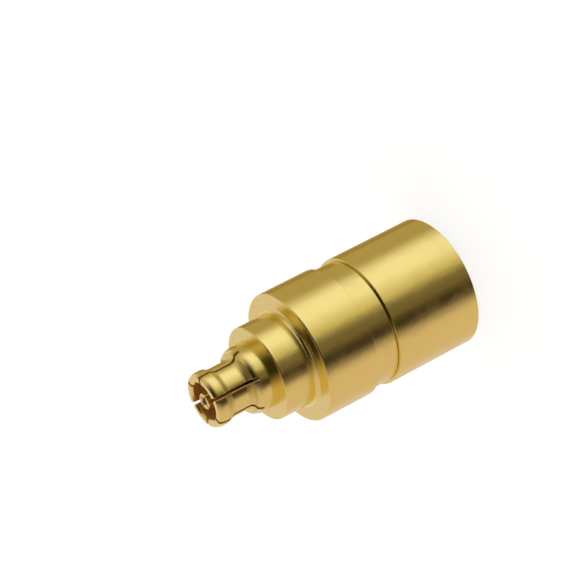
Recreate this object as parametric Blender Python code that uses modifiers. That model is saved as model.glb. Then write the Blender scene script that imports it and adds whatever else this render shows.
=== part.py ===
"""Coaxial termination with a push-on socket, modelled as the assembly it is.

Units are metres. +Z runs along the axis from the closed rear end to the spring
fingers, and the origin is the centre of the rear face, on which the part stands.
"""

import math

import bmesh
import bpy
from mathutils import Matrix

MM = 0.001

# Clearances
SEAT_GAP = 0.02 * MM        # between pieces that are pressed or seated together
CUT_MARGIN = 0.2 * MM       # how far a cutter stands out of what it cuts

# Bodies
BODY_OD = 7.5 * MM
BODY_EDGE = 0.1 * MM        # edge break at the shoulder of the front body
REAR_LENGTH = 5.4 * MM
REAR_EDGE = 0.05 * MM       # edge break round the rear face
END_WALL = 1.2 * MM         # thickness of the closed rear end
CUP_WALL = 0.73 * MM        # wall of the rear body round the spigot
GROOVE_DEPTH = 0.18 * MM
GROOVE_WIDTH = 1.42 * MM
GROOVE_EDGE = 0.05 * MM     # edge break on both lips of the groove
FLANGE_LENGTH = 3.28 * MM
NOSE_OD = 5.4 * MM
NOSE_LENGTH = 2.05 * MM
NOSE_EDGE = 0.08 * MM
NOSE_FILLET = 0.25 * MM     # at the root of the nose
SPIGOT_WALL = 0.68 * MM     # spigot of the front body, pressed into the rear body
SPIGOT_LENGTH = 1.5 * MM
SPIGOT_EDGE = 0.12 * MM

# Outer contact
FINGER_BORE = 2.15 * MM
FINGER_WALL = 0.35 * MM     # wall of the neck
FINGER_REACH = 3.5 * MM     # from the face of the nose to the tips of the fingers
COLLAR_STEP = 0.5 * MM      # height of the collar above the neck
COLLAR_SEAT = 1.97 * MM     # length of the collar inside the nose
COLLAR_REACH = 0.9 * MM     # straight length of the collar in front of the nose
COLLAR_ROUND = 0.25 * MM    # convex round at the front of the collar
BULGE_HEIGHT = 0.16 * MM    # height of the bulge above the neck
BULGE_LENGTH = 0.95 * MM    # from the tips back to the neck
BULGE_RAMP = 0.34 * MM      # length of the soft ramp from the neck up to the bulge
TIP_ROUND = 0.28 * MM       # length of the rounding outside the tips
TIP_DROP = 0.125 * MM       # how far that rounding falls towards the rim
MOUTH_CHAMFER = 0.1 * MM
FINGER_COUNT = 6
FINGER_SLOT = 0.17 * MM
FINGER_SLOT_STOP = 0.85 * MM  # from the face of the nose forward to the slots' ends
FINGER_SLOT_ANGLE = math.radians(0.0)

# Centre contact
CONTACT_OD = 0.935 * MM
CONTACT_RECESS = 0.05 * MM  # from the finger tips back to the contact's face
CONTACT_EDGE = 0.05 * MM
SOCKET_BORE = 0.42 * MM
SOCKET_DEPTH = 2.2 * MM
SOCKET_LEAD = 0.06 * MM     # countersink of the socket
TINE_COUNT = 4
TINE_SLIT = 0.06 * MM
TINE_SLIT_LENGTH = 1.8 * MM
TINE_SLIT_ANGLE = math.radians(60.0)
STEM_STEP = 0.065 * MM      # step from the contact down to its stem inside the bead
TAIL_OD = 0.4 * MM
TAIL_LENGTH = 0.6 * MM

# Bead
BEAD_OD = 2.9 * MM
BEAD_LENGTH = 2.05 * MM
BEAD_RIM = 0.45 * MM        # rim left standing outside the ring recess in both faces
BEAD_HUB_WALL = 0.2 * MM    # hub left standing inside the recess
BEAD_RELIEF_DEPTH = 0.25 * MM
BEAD_SEAT = 0.2 * MM        # width of the ring on which the sleeve carries the bead

# Load
ROD_OD = 0.9 * MM
TAPER_END_GAP = 0.225 * MM  # between the rod and the narrow end of the sleeve's bore
PLUG_LENGTH = 1.2 * MM
PLUG_EDGE = 0.1 * MM
CAP_WALL = 0.1 * MM         # side wall of both end caps
CAP_WEB = 0.16 * MM         # metal between the rod's end and what is beyond it
FRONT_CAP_COVER = 0.5 * MM  # length of rod that the front cap covers
REAR_CAP_COVER = 0.66 * MM

# Facets round the axis and along a curve
BODY_STEPS = 80
CONTACT_STEPS = 72
INNER_STEPS = 40
SMALL_STEPS = 28
CURVE_STEPS = 4

# Directions in the profile plane, in degrees
OUTWARD = 0
UP = 90
INWARD = 180
DOWN = 270

# Radii
BODY_R = BODY_OD / 2
GROOVE_R = BODY_R - GROOVE_DEPTH
CUP_BORE_R = BODY_R - CUP_WALL
SPIGOT_R = CUP_BORE_R - SEAT_GAP
LOAD_BORE_R = SPIGOT_R - SPIGOT_WALL
LOAD_R = LOAD_BORE_R - SEAT_GAP
NOSE_R = NOSE_OD / 2
FINGER_BORE_R = FINGER_BORE / 2
NECK_R = FINGER_BORE_R + FINGER_WALL
COLLAR_R = NECK_R + COLLAR_STEP
COLLAR_BORE_R = COLLAR_R + SEAT_GAP
NECK_FILLET = COLLAR_STEP - COLLAR_ROUND
BULGE_R = NECK_R + BULGE_HEIGHT
TIP_RIM_R = BULGE_R - TIP_DROP
CONTACT_R = CONTACT_OD / 2
SOCKET_R = SOCKET_BORE / 2
STEM_R = CONTACT_R - STEM_STEP
TAIL_R = TAIL_OD / 2
TAIL_SOCKET_R = TAIL_R + SEAT_GAP
BEAD_R = BEAD_OD / 2
BEAD_BORE_R = BEAD_R + SEAT_GAP
BEAD_HOLE_R = STEM_R + SEAT_GAP
BEAD_HUB_R = BEAD_HOLE_R + BEAD_HUB_WALL
BEAD_RELIEF_R = BEAD_R - BEAD_RIM
ROD_R = ROD_OD / 2
CAP_BORE_R = ROD_R + SEAT_GAP
CAP_R = CAP_BORE_R + CAP_WALL
PLUG_BORE_R = CAP_R + SEAT_GAP
TAPER_WIDE_R = BEAD_R - BEAD_SEAT
TAPER_NARROW_R = ROD_R + TAPER_END_GAP

# Heights, from the rear face up
GROOVE_FRONT_Z = REAR_LENGTH + GROOVE_WIDTH
SHOULDER_Z = GROOVE_FRONT_Z + FLANGE_LENGTH
NOSE_Z = SHOULDER_Z + NOSE_LENGTH
TIP_Z = NOSE_Z + FINGER_REACH
SPIGOT_ROOT_Z = REAR_LENGTH + SEAT_GAP
SPIGOT_END_Z = REAR_LENGTH - SPIGOT_LENGTH
COUNTERBORE_Z = SPIGOT_END_Z - SEAT_GAP
COLLAR_REAR_Z = NOSE_Z - COLLAR_SEAT
COLLAR_FRONT_Z = NOSE_Z + COLLAR_REACH
NECK_REAR_Z = COLLAR_FRONT_Z + COLLAR_ROUND + NECK_FILLET
NECK_FRONT_Z = TIP_Z - BULGE_LENGTH
FINGER_SLOT_Z = NOSE_Z + FINGER_SLOT_STOP
CONTACT_FACE_Z = TIP_Z - CONTACT_RECESS
SOCKET_FLOOR_Z = CONTACT_FACE_Z - SOCKET_DEPTH
TINE_SLIT_Z = CONTACT_FACE_Z - TINE_SLIT_LENGTH
BEAD_FRONT_Z = COLLAR_REAR_Z - SEAT_GAP
BEAD_REAR_Z = BEAD_FRONT_Z - BEAD_LENGTH
CONTACT_SHOULDER_Z = BEAD_FRONT_Z + SEAT_GAP
SLEEVE_FRONT_Z = BEAD_REAR_Z - SEAT_GAP
PLUG_REAR_Z = END_WALL + SEAT_GAP
PLUG_FRONT_Z = PLUG_REAR_Z + PLUG_LENGTH
SLEEVE_REAR_Z = PLUG_FRONT_Z + SEAT_GAP
TAIL_END_Z = BEAD_REAR_Z - TAIL_LENGTH
FRONT_CAP_Z = SLEEVE_FRONT_Z
TAIL_SOCKET_Z = TAIL_END_Z - SEAT_GAP
FRONT_CAP_FLOOR_Z = TAIL_SOCKET_Z - CAP_WEB
ROD_FRONT_Z = FRONT_CAP_FLOOR_Z - SEAT_GAP
FRONT_CAP_END_Z = ROD_FRONT_Z - FRONT_CAP_COVER
REAR_CAP_Z = END_WALL + SEAT_GAP
REAR_CAP_FLOOR_Z = REAR_CAP_Z + CAP_WEB
ROD_REAR_Z = REAR_CAP_FLOOR_Z + SEAT_GAP
REAR_CAP_END_Z = ROD_REAR_Z + REAR_CAP_COVER

# Colours as linear red, green, blue
GOLD = (0.83, 0.60, 0.25)
CONTACT_GOLD = (0.85, 0.64, 0.30)
BRASS = (0.72, 0.55, 0.26)
BEAD_WHITE = (0.86, 0.85, 0.81)
CERAMIC = (0.22, 0.24, 0.27)
SILVER = (0.77, 0.76, 0.73)


def clear_scene():
    """Remove every object that the new scene starts with."""
    for item in list(bpy.data.objects):
        bpy.data.objects.remove(item, do_unlink=True)


def new_collection(name):
    """Add an empty collection to the scene."""
    collection = bpy.data.collections.new(name)
    bpy.context.scene.collection.children.link(collection)
    return collection


def new_material(name, colour, metallic, roughness):
    """Make a plain finish."""
    material = bpy.data.materials.new(name)
    material.use_nodes = True
    shader = material.node_tree.nodes["Principled BSDF"]
    shader.inputs["Base Color"].default_value = (*colour, 1.0)
    shader.inputs["Metallic"].default_value = metallic
    shader.inputs["Roughness"].default_value = roughness
    return material


def arc(centre, radii, start, end, steps=CURVE_STEPS):
    """Points on a round or oval arc in the profile plane.

    The centre is (radius, height), radii are the half widths outward and upward,
    and start and end are angles in degrees from the outward direction.
    """
    points = []
    for step in range(steps + 1):
        angle = math.radians(start + (end - start) * step / steps)
        points.append((centre[0] + radii[0] * math.cos(angle), centre[1] + radii[1] * math.sin(angle)))
    return points


def soft_ramp(top, bottom, steps=CURVE_STEPS):
    """Points that lead from one (radius, height) to another and run level at both."""
    points = []
    for step in range(steps + 1):
        share = step / steps
        eased = (1 - math.cos(math.pi * share)) / 2
        radius = top[0] + (bottom[0] - top[0]) * eased
        height = top[1] + (bottom[1] - top[1]) * share
        points.append((radius, height))
    return points


def turned(name, profile, steps, material, collection, closed):
    """Turn a profile of (radius, height) points about the Z axis.

    The profile runs down the outer side. A closed profile makes a ring, and an
    open one starts and ends on the axis.
    """
    mesh = bpy.data.meshes.new(name)
    points = [(radius, 0.0, height) for radius, height in profile]
    edges = [(index, index + 1) for index in range(len(points) - 1)]
    if closed:
        edges.append((len(points) - 1, 0))
    mesh.from_pydata(points, edges, [])
    item = bpy.data.objects.new(name, mesh)
    collection.objects.link(item)
    screw = item.modifiers.new("turn", "SCREW")
    screw.axis = "Z"
    screw.angle = 2 * math.pi
    screw.steps = steps
    screw.render_steps = steps
    screw.use_merge_vertices = True
    screw.merge_threshold = 0.0000001
    screw.use_smooth_shade = True
    item.data.materials.append(material)
    return item


def as_smooth_mesh(item):
    """Replace the object's mesh with its turned form, smooth with sharp corners."""
    depsgraph = bpy.context.evaluated_depsgraph_get()
    mesh = bpy.data.meshes.new_from_object(item.evaluated_get(depsgraph))
    item.modifiers.clear()
    item.data = mesh
    mesh.shade_smooth()
    mesh.set_sharp_from_angle(angle=math.radians(30))
    return item


def radial_cutter(name, count, width, inner, outer, low, high, first_angle, collection):
    """Flat blades that stand out from the axis, to cut slots through a wall."""
    mesh = bpy.data.meshes.new(name)
    blades = bmesh.new()
    length = outer - inner
    for index in range(count):
        turn = Matrix.Rotation(first_angle + index * 2 * math.pi / count, 4, "Z")
        shift = Matrix.Translation((inner + length / 2, 0.0, (low + high) / 2))
        size = Matrix.Diagonal((length, width, high - low, 1.0))
        bmesh.ops.create_cube(blades, size=1.0, matrix=turn @ shift @ size)
    blades.to_mesh(mesh)
    blades.free()
    item = bpy.data.objects.new(name, mesh)
    collection.objects.link(item)
    item.hide_render = True
    item.display_type = "WIRE"
    return item


def cut(item, cutter):
    """Cut the cutter's blades out of the object."""
    boolean = item.modifiers.new("slots", "BOOLEAN")
    boolean.operation = "DIFFERENCE"
    boolean.solver = "EXACT"
    boolean.object = cutter


def rear_body(material, parts):
    """Cup that closes the rear end and takes the load and the front body's spigot."""
    profile = [
        (0.0, END_WALL),
        (LOAD_BORE_R, END_WALL),
        (LOAD_BORE_R, COUNTERBORE_Z),
        (CUP_BORE_R, COUNTERBORE_Z),
        (CUP_BORE_R, REAR_LENGTH),
        (BODY_R - GROOVE_EDGE, REAR_LENGTH),
        (BODY_R, REAR_LENGTH - GROOVE_EDGE),
        (BODY_R, REAR_EDGE),
        (BODY_R - REAR_EDGE, 0.0),
        (0.0, 0.0),
    ]
    return as_smooth_mesh(turned("rear_body", profile, BODY_STEPS, material, parts, closed=False))


def front_body(material, parts):
    """Housing with nose, flange, groove floor and the spigot into the rear body."""
    fillet_centre = (NOSE_R + NOSE_FILLET, SHOULDER_Z + NOSE_FILLET)
    profile = [
        (COLLAR_BORE_R, NOSE_Z),
        (NOSE_R - NOSE_EDGE, NOSE_Z),
        (NOSE_R, NOSE_Z - NOSE_EDGE),
        *arc(fillet_centre, (NOSE_FILLET, NOSE_FILLET), INWARD, DOWN),
        (BODY_R - BODY_EDGE, SHOULDER_Z),
        (BODY_R, SHOULDER_Z - BODY_EDGE),
        (BODY_R, GROOVE_FRONT_Z + GROOVE_EDGE),
        (BODY_R - GROOVE_EDGE, GROOVE_FRONT_Z),
        (GROOVE_R, GROOVE_FRONT_Z),
        (GROOVE_R, SPIGOT_ROOT_Z),
        (SPIGOT_R, SPIGOT_ROOT_Z),
        (SPIGOT_R, SPIGOT_END_Z + SPIGOT_EDGE),
        (SPIGOT_R - SPIGOT_EDGE, SPIGOT_END_Z),
        (LOAD_BORE_R, SPIGOT_END_Z),
        (LOAD_BORE_R, BEAD_REAR_Z),
        (BEAD_BORE_R, BEAD_REAR_Z),
        (BEAD_BORE_R, BEAD_FRONT_Z),
        (COLLAR_BORE_R, BEAD_FRONT_Z),
    ]
    return as_smooth_mesh(turned("front_body", profile, BODY_STEPS, material, parts, closed=True))


def outer_contact(material, parts, cutters):
    """Spring contact: collar, neck and bulge round one bore, slotted into fingers."""
    fillet_centre = (NECK_R + NECK_FILLET, NECK_REAR_Z)
    round_centre = (COLLAR_R - COLLAR_ROUND, COLLAR_FRONT_Z)
    profile = [
        (FINGER_BORE_R + MOUTH_CHAMFER, TIP_Z),
        *arc((TIP_RIM_R, TIP_Z - TIP_ROUND), (TIP_DROP, TIP_ROUND), UP, OUTWARD),
        *soft_ramp((BULGE_R, NECK_FRONT_Z + BULGE_RAMP), (NECK_R, NECK_FRONT_Z)),
        *arc(fillet_centre, (NECK_FILLET, NECK_FILLET), INWARD, DOWN),
        *arc(round_centre, (COLLAR_ROUND, COLLAR_ROUND), UP, OUTWARD)[1:],
        (COLLAR_R, COLLAR_REAR_Z),
        (FINGER_BORE_R, COLLAR_REAR_Z),
        (FINGER_BORE_R, TIP_Z - MOUTH_CHAMFER),
    ]
    item = as_smooth_mesh(turned("outer_contact", profile, CONTACT_STEPS, material, parts, closed=True))
    blades = radial_cutter(
        "finger_slots", FINGER_COUNT, FINGER_SLOT, FINGER_BORE_R / 2, COLLAR_R + CUT_MARGIN,
        FINGER_SLOT_Z, TIP_Z + CUT_MARGIN, FINGER_SLOT_ANGLE, cutters)
    cut(item, blades)
    return item


def center_contact(material, parts, cutters):
    """Socket contact with slit tines in front, a stem in the bead and a tail behind."""
    profile = [
        (0.0, SOCKET_FLOOR_Z),
        (SOCKET_R, SOCKET_FLOOR_Z),
        (SOCKET_R, CONTACT_FACE_Z - SOCKET_LEAD),
        (SOCKET_R + SOCKET_LEAD, CONTACT_FACE_Z),
        (CONTACT_R - CONTACT_EDGE, CONTACT_FACE_Z),
        (CONTACT_R, CONTACT_FACE_Z - CONTACT_EDGE),
        (CONTACT_R, CONTACT_SHOULDER_Z),
        (STEM_R, CONTACT_SHOULDER_Z),
        (STEM_R, BEAD_REAR_Z),
        (TAIL_R, BEAD_REAR_Z),
        (TAIL_R, TAIL_END_Z),
        (0.0, TAIL_END_Z),
    ]
    item = as_smooth_mesh(turned("center_contact", profile, INNER_STEPS, material, parts, closed=False))
    blades = radial_cutter(
        "tine_slits", TINE_COUNT, TINE_SLIT, SOCKET_R / 2, CONTACT_R + CUT_MARGIN,
        TINE_SLIT_Z, CONTACT_FACE_Z + CUT_MARGIN, TINE_SLIT_ANGLE, cutters)
    cut(item, blades)
    return item


def contact_bead(material, parts):
    """Insulating bead on the contact's stem, relieved by a ring in both faces."""
    profile = [
        (BEAD_HOLE_R, BEAD_FRONT_Z),
        (BEAD_HUB_R, BEAD_FRONT_Z),
        (BEAD_HUB_R, BEAD_FRONT_Z - BEAD_RELIEF_DEPTH),
        (BEAD_RELIEF_R, BEAD_FRONT_Z - BEAD_RELIEF_DEPTH),
        (BEAD_RELIEF_R, BEAD_FRONT_Z),
        (BEAD_R, BEAD_FRONT_Z),
        (BEAD_R, BEAD_REAR_Z),
        (BEAD_RELIEF_R, BEAD_REAR_Z),
        (BEAD_RELIEF_R, BEAD_REAR_Z + BEAD_RELIEF_DEPTH),
        (BEAD_HUB_R, BEAD_REAR_Z + BEAD_RELIEF_DEPTH),
        (BEAD_HUB_R, BEAD_REAR_Z),
        (BEAD_HOLE_R, BEAD_REAR_Z),
    ]
    return as_smooth_mesh(turned("contact_bead", profile, INNER_STEPS, material, parts, closed=True))


def taper_sleeve(material, parts):
    """Outer conductor of the load, whose bore narrows towards the grounded end."""
    profile = [
        (TAPER_WIDE_R, SLEEVE_FRONT_Z),
        (LOAD_R, SLEEVE_FRONT_Z),
        (LOAD_R, SLEEVE_REAR_Z),
        (TAPER_NARROW_R, SLEEVE_REAR_Z),
    ]
    return as_smooth_mesh(turned("taper_sleeve", profile, INNER_STEPS, material, parts, closed=True))


def ground_plug(material, parts):
    """Ring on the floor of the cup that grips the grounded end of the load."""
    profile = [
        (PLUG_BORE_R + PLUG_EDGE, PLUG_FRONT_Z),
        (LOAD_R, PLUG_FRONT_Z),
        (LOAD_R, PLUG_REAR_Z),
        (PLUG_BORE_R, PLUG_REAR_Z),
        (PLUG_BORE_R, PLUG_FRONT_Z - PLUG_EDGE),
    ]
    return as_smooth_mesh(turned("ground_plug", profile, INNER_STEPS, material, parts, closed=True))


def resistor_rod(material, parts):
    """Ceramic rod that carries the resistive film."""
    profile = [
        (0.0, ROD_FRONT_Z),
        (ROD_R, ROD_FRONT_Z),
        (ROD_R, ROD_REAR_Z),
        (0.0, ROD_REAR_Z),
    ]
    return as_smooth_mesh(turned("resistor_rod", profile, SMALL_STEPS, material, parts, closed=False))


def rod_front_cap(material, parts):
    """Cap on the front end of the rod, with a socket for the contact's tail."""
    profile = [
        (0.0, TAIL_SOCKET_Z),
        (TAIL_SOCKET_R, TAIL_SOCKET_Z),
        (TAIL_SOCKET_R, FRONT_CAP_Z),
        (CAP_R, FRONT_CAP_Z),
        (CAP_R, FRONT_CAP_END_Z),
        (CAP_BORE_R, FRONT_CAP_END_Z),
        (CAP_BORE_R, FRONT_CAP_FLOOR_Z),
        (0.0, FRONT_CAP_FLOOR_Z),
    ]
    return as_smooth_mesh(turned("rod_front_cap", profile, SMALL_STEPS, material, parts, closed=False))


def rod_rear_cap(material, parts):
    """Cup on the grounded end of the rod, standing on the floor of the rear body."""
    profile = [
        (0.0, REAR_CAP_FLOOR_Z),
        (CAP_BORE_R, REAR_CAP_FLOOR_Z),
        (CAP_BORE_R, REAR_CAP_END_Z),
        (CAP_R, REAR_CAP_END_Z),
        (CAP_R, REAR_CAP_Z),
        (0.0, REAR_CAP_Z),
    ]
    return as_smooth_mesh(turned("rod_rear_cap", profile, SMALL_STEPS, material, parts, closed=False))


def build():
    """Make the finishes and the ten pieces."""
    clear_scene()
    parts = new_collection("coaxial_termination")
    cutters = new_collection("cutters")
    rear_body(new_material("rear_body_gold", GOLD, 1.0, 0.2), parts)
    front_body(new_material("front_body_gold", GOLD, 1.0, 0.18), parts)
    outer_contact(new_material("finger_gold", CONTACT_GOLD, 1.0, 0.16), parts, cutters)
    center_contact(new_material("contact_gold", CONTACT_GOLD, 1.0, 0.2), parts, cutters)
    contact_bead(new_material("bead_white", BEAD_WHITE, 0.0, 0.5), parts)
    taper_sleeve(new_material("sleeve_brass", BRASS, 1.0, 0.3), parts)
    ground_plug(new_material("plug_brass", BRASS, 1.0, 0.3), parts)
    resistor_rod(new_material("rod_film", CERAMIC, 0.0, 0.55), parts)
    rod_front_cap(new_material("front_cap_silver", SILVER, 1.0, 0.25), parts)
    rod_rear_cap(new_material("rear_cap_silver", SILVER, 1.0, 0.25), parts)


build()
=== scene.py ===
"""Studio view of a coaxial termination with a slotted push-on socket.

The part stands on its closed rear end, and +Z runs along the turning axis to the
spring fingers. Sizes in the classes are in millimetres and become metres in the
meshes. Angles are in degrees.
"""

from __future__ import annotations

import logging
import math
from collections.abc import Mapping, Sequence
from dataclasses import dataclass, field
from enum import Enum

import bmesh
import bpy
from mathutils import Matrix, Vector

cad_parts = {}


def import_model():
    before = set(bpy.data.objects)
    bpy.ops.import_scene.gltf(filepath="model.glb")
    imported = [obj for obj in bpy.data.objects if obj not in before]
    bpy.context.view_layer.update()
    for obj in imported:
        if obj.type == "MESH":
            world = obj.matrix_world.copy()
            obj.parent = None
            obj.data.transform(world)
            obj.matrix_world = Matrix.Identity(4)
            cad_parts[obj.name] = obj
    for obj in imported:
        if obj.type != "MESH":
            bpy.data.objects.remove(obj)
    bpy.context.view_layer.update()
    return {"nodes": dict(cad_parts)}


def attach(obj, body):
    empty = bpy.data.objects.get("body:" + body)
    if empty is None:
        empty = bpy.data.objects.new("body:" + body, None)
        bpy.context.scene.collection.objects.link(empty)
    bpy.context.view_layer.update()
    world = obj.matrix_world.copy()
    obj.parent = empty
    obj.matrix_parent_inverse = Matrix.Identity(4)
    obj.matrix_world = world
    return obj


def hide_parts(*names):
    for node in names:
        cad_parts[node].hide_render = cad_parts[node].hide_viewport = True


LOG = logging.getLogger("coaxial_termination")
MM = 0.001
MICRON = 1e-6
BODY = "root"
UV_NAME = "turning"
SAWN_NAME = "sawn"
SHARP_ANGLE = 32.0
WELD = 2e-8
LEVEL_TOLERANCE = 1e-9
MITRE_LIMIT = 0.3
SUPPORT_ROOM = 4
NO_BORE = -1.0
Point = tuple[float, float]
Colour = tuple[float, float, float]


class Facing(Enum):
    """Directions in the plane of an outline, in degrees from the outward one."""

    OUTWARD = 0.0
    UP = 90.0
    INWARD = 180.0
    DOWN = 270.0


class Wire:
    """One value in a node tree, whose arithmetic adds Math nodes."""

    def __init__(self, graph: Graph, socket: bpy.types.NodeSocket) -> None:
        """Keep the socket and the tree it is in.

        Args:
            graph: The tree that new nodes are added to.
            socket: The output socket that gives the value.
        """
        self.graph = graph
        self.socket = socket

    def _math(self, operation: str, first: Wire | float, second: Wire | float) -> Wire:
        """Add one Math node.

        Args:
            operation: The Math node's operation.
            first: Its first value.
            second: Its second value.

        Returns:
            The node's result.
        """
        values = {0: first, 1: second}
        return self.graph.add("ShaderNodeMath", {"operation": operation}, values)

    def __add__(self, other: Wire | float) -> Wire:
        """Sum of two values."""
        return self._math("ADD", self, other)

    def __radd__(self, other: float) -> Wire:
        """Sum of a number and this value."""
        return self._math("ADD", other, self)

    def __sub__(self, other: Wire | float) -> Wire:
        """This value less another."""
        return self._math("SUBTRACT", self, other)

    def __rsub__(self, other: float) -> Wire:
        """A number less this value."""
        return self._math("SUBTRACT", other, self)

    def __mul__(self, other: Wire | float) -> Wire:
        """Product of two values."""
        return self._math("MULTIPLY", self, other)

    def __rmul__(self, other: float) -> Wire:
        """Product of a number and this value."""
        return self._math("MULTIPLY", other, self)

    def __truediv__(self, other: Wire | float) -> Wire:
        """This value divided by another."""
        return self._math("DIVIDE", self, other)

    def __rtruediv__(self, other: float) -> Wire:
        """A number divided by this value."""
        return self._math("DIVIDE", other, self)

    def larger(self, other: Wire | float) -> Wire:
        """The larger of two values."""
        return self._math("MAXIMUM", self, other)

    def floor(self) -> Wire:
        """The whole number below this value."""
        return self._math("FLOOR", self, 0.0)

    def angle(self) -> Wire:
        """The angle in degrees whose cosine this value is."""
        return self._math("ARCCOSINE", self, 0.0) * math.degrees(1.0)

    def smooth_step(self, start: float, end: float) -> Wire:
        """Change softly from 0 to 1.

        Args:
            start: The value at which the result leaves 0.
            end: The value at which it reaches 1, which may be the lower one.

        Returns:
            The eased result.
        """
        settings = {"interpolation_type": "SMOOTHSTEP"}
        values = {"Value": self, "From Min": start, "From Max": end}
        return self.graph.add("ShaderNodeMapRange", settings, values)


class Graph:
    """A node tree under construction."""

    def __init__(self, tree: bpy.types.NodeTree) -> None:
        """Keep the tree.

        Args:
            tree: The tree to add nodes to.
        """
        self.tree = tree

    def node(
        self,
        kind: str,
        settings: Mapping[str, object] | None = None,
        values: Mapping[str | int, object] | None = None,
    ) -> bpy.types.Node:
        """Add any node.

        Args:
            kind: The node's type.
            settings: Its properties, set first.
            values: Numbers, colours or wires for its input sockets, by name or place.

        Returns:
            The new node.
        """
        made = self.tree.nodes.new(kind)
        for name, value in (settings or {}).items():
            setattr(made, name, value)
        for name, value in (values or {}).items():
            if isinstance(value, Wire):
                self.tree.links.new(value.socket, made.inputs[name])
            else:
                made.inputs[name].default_value = value
        return made

    def add(
        self,
        kind: str,
        settings: Mapping[str, object] | None = None,
        values: Mapping[str | int, object] | None = None,
        output: str | int = 0,
    ) -> Wire:
        """Add any node and take one of its outputs.

        Args:
            kind: The node's type.
            settings: Its properties.
            values: Numbers, colours or wires for its input sockets.
            output: The output's name or place.

        Returns:
            The chosen output.
        """
        return Wire(self, self.node(kind, settings, values).outputs[output])

    def vector(
        self,
        operation: str,
        first: Wire | Colour,
        second: Wire | Colour | None = None,
        scale: Wire | None = None,
    ) -> Wire:
        """Add one Vector Math node.

        Args:
            operation: The node's operation.
            first: Its first vector.
            second: Its second vector, where it takes one.
            scale: Its factor, where it takes one.

        Returns:
            The resulting vector, or the number for a dot product.
        """
        values: dict[str | int, object] = {0: first}
        if second is not None:
            values[1] = second
        if scale is not None:
            values["Scale"] = scale
        output = "Value" if operation == "DOT_PRODUCT" else "Vector"
        return self.add("ShaderNodeVectorMath", {"operation": operation}, values, output)

    def mix_colour(self, share: Wire, first: Wire | Colour, second: Wire | Colour) -> Wire:
        """Blend two colours.

        Args:
            share: How much of the second colour shows, from 0 to 1.
            first: The colour at 0.
            second: The colour at 1.

        Returns:
            The blended colour.
        """
        colours = [c if isinstance(c, Wire) else (*c, 1.0) for c in (first, second)]
        values = {0: share, 6: colours[0], 7: colours[1]}
        return self.add("ShaderNodeMix", {"data_type": "RGBA"}, values, output=2)

    def place(self) -> Wire:
        """The point's place in the piece's own coordinates, in metres."""
        return self.add("ShaderNodeTexCoord", output="Object")

    def height_of(self, vector: Wire) -> Wire:
        """The upward part of a vector."""
        return self.add("ShaderNodeSeparateXYZ", None, {0: vector}, output=2)

    def noise(self, vector: Wire, scale: float, detail: float = 2.0) -> Wire:
        """Soft noise in space.

        Args:
            vector: Where to read it.
            scale: How many features there are in one unit.
            detail: How many finer layers are added.

        Returns:
            The noise, from 0 to 1.
        """
        values = {"Vector": vector, "Scale": scale, "Detail": detail, "Roughness": 0.5}
        return self.add("ShaderNodeTexNoise", {"noise_dimensions": "3D"}, values)

    def line_noise(self, along: Wire, scale: float, detail: float = 1.0) -> Wire:
        """Noise that changes in one direction only.

        Args:
            along: The distance along that direction.
            scale: How many features there are in one unit.
            detail: How many finer layers are added.

        Returns:
            The noise, from 0 to 1.
        """
        values = {"W": along, "Scale": scale, "Detail": detail, "Roughness": 0.5}
        return self.add("ShaderNodeTexNoise", {"noise_dimensions": "1D"}, values)


class Surface:
    """A new material and its Principled shader."""

    def __init__(self, name: str) -> None:
        """Make the material.

        Args:
            name: Its name.
        """
        self.material = bpy.data.materials.new(name)
        self.material.use_nodes = True
        self.graph = Graph(self.material.node_tree)
        self.shader = self.material.node_tree.nodes["Principled BSDF"]

    def fix(self, name: str, value: object) -> None:
        """Set what is the same all over on the shader's own socket.

        Args:
            name: The socket's name.
            value: Its value.
        """
        self.shader.inputs[name].default_value = value

    def vary(self, name: str, wire: Wire) -> None:
        """Link what changes over the surface.

        Args:
            name: The socket's name.
            wire: The value that changes.
        """
        self.graph.tree.links.new(wire.socket, self.shader.inputs[name])

    def relief(self, height: Wire) -> None:
        """Give the surface a fine relief.

        Args:
            height: Its height in micrometres.
        """
        values = {"Strength": 1.0, "Distance": MICRON, "Height": height}
        self.vary("Normal", self.graph.add("ShaderNodeBump", None, values))


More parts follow.
